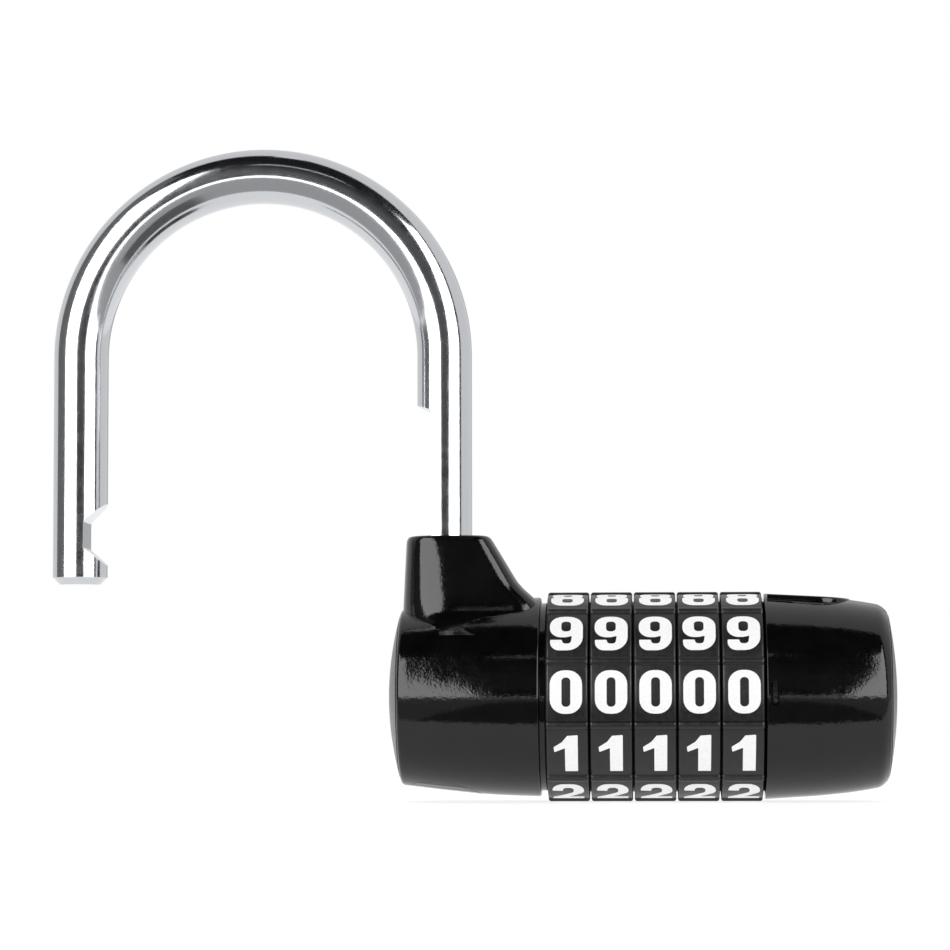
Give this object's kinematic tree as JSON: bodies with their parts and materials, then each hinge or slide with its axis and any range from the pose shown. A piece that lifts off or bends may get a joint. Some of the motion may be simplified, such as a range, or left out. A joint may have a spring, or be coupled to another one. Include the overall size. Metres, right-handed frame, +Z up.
{
  "type": "combination padlock",
  "caption": "Barrel-shaped combination padlock with numbered dials between two black housings and a round chrome shackle, shown open with the shackle turned aside.",
  "frame": {"origin": "middle of the open lock's bounding box in X and Y, at the height of its lowest point, the dials' lowest ridge", "axes": "+X along the barrel from the heel housing to the toe housing, +Y away from the reader of the dials, +Z up along the shackle's legs"},
  "size_m": [0.1076, 0.026, 0.0838],
  "materials": {
    "housing_paint": "glossy black paint on die-cast zinc",
    "end_disc_paint": "black paint with a fine grain",
    "dial_plastic": "satin black moulded plastic with white printed digits",
    "sleeve_brass": "turned brass",
    "inner_steel": "turned zinc-plated steel",
    "spring_steel": "bright spring steel",
    "shackle_chrome": "polished chrome plate on steel"
  },
  "bodies": {
    "lock_body": {"heel_housing": "housing_paint", "toe_housing": "housing_paint", "heel_end_disc": "end_disc_paint", "toe_end_disc": "end_disc_paint", "chamber_plug": "housing_paint", "core_tube": "inner_steel", "heel_pin": "inner_steel", "toe_pin": "inner_steel", "lift_spring": "spring_steel", "bolt_spring": "spring_steel", "spacer_washer_1": "inner_steel", "spacer_washer_2": "inner_steel", "spacer_washer_3": "inner_steel", "spacer_washer_4": "inner_steel", "click_spring_1": "spring_steel", "click_spring_2": "spring_steel", "click_spring_3": "spring_steel", "click_spring_4": "spring_steel", "click_spring_5": "spring_steel"},
    "lift_carrier": {"thrust_washer": "inner_steel"},
    "shackle_body": {"shackle": "shackle_chrome", "retaining_clip": "spring_steel"},
    "bolt": {"bolt_spindle": "inner_steel"},
    "dial_body_1": {"dial_1": "dial_plastic", "code_sleeve_1": "sleeve_brass"},
    "dial_body_2": {"dial_2": "dial_plastic", "code_sleeve_2": "sleeve_brass"},
    "dial_body_3": {"dial_3": "dial_plastic", "code_sleeve_3": "sleeve_brass"},
    "dial_body_4": {"dial_4": "dial_plastic", "code_sleeve_4": "sleeve_brass"},
    "dial_body_5": {"dial_5": "dial_plastic", "code_sleeve_5": "sleeve_brass"}
  },
  "joints": [
    {"name": "shackle_lift", "type": "slide", "parent": "lock_body", "child": "lift_carrier", "axis": [0, 0, -1], "range_m": [0, 0.02045], "stiffness_N_per_m": 90, "springref_m": -0.014, "deforming": ["lift_spring"]},
    {"name": "shackle_swing", "type": "hinge", "parent": "lift_carrier", "child": "shackle_body", "pos_m": [-0.00342, 0, 0.03358], "axis": [0, 0, 1], "range_deg": [-180, 180]},
    {"name": "bolt_slide", "type": "slide", "parent": "lock_body", "child": "bolt", "axis": [1, 0, 0], "range_m": [-0.0021, 0], "stiffness_N_per_m": 300, "springref_m": 0.0033, "deforming": ["bolt_spring"]},
    {"name": "dial_1_spin", "type": "hinge", "parent": "lock_body", "child": "dial_body_1", "pos_m": [0.01238, 0, 0.01325], "axis": [1, 0, 0], "continuous": true},
    {"name": "dial_2_spin", "type": "hinge", "parent": "lock_body", "child": "dial_body_2", "pos_m": [0.01783, 0, 0.01325], "axis": [1, 0, 0], "continuous": true},
    {"name": "dial_3_spin", "type": "hinge", "parent": "lock_body", "child": "dial_body_3", "pos_m": [0.02328, 0, 0.01325], "axis": [1, 0, 0], "continuous": true},
    {"name": "dial_4_spin", "type": "hinge", "parent": "lock_body", "child": "dial_body_4", "pos_m": [0.02873, 0, 0.01325], "axis": [1, 0, 0], "continuous": true},
    {"name": "dial_5_spin", "type": "hinge", "parent": "lock_body", "child": "dial_body_5", "pos_m": [0.03418, 0, 0.01325], "axis": [1, 0, 0], "continuous": true}
  ]
}
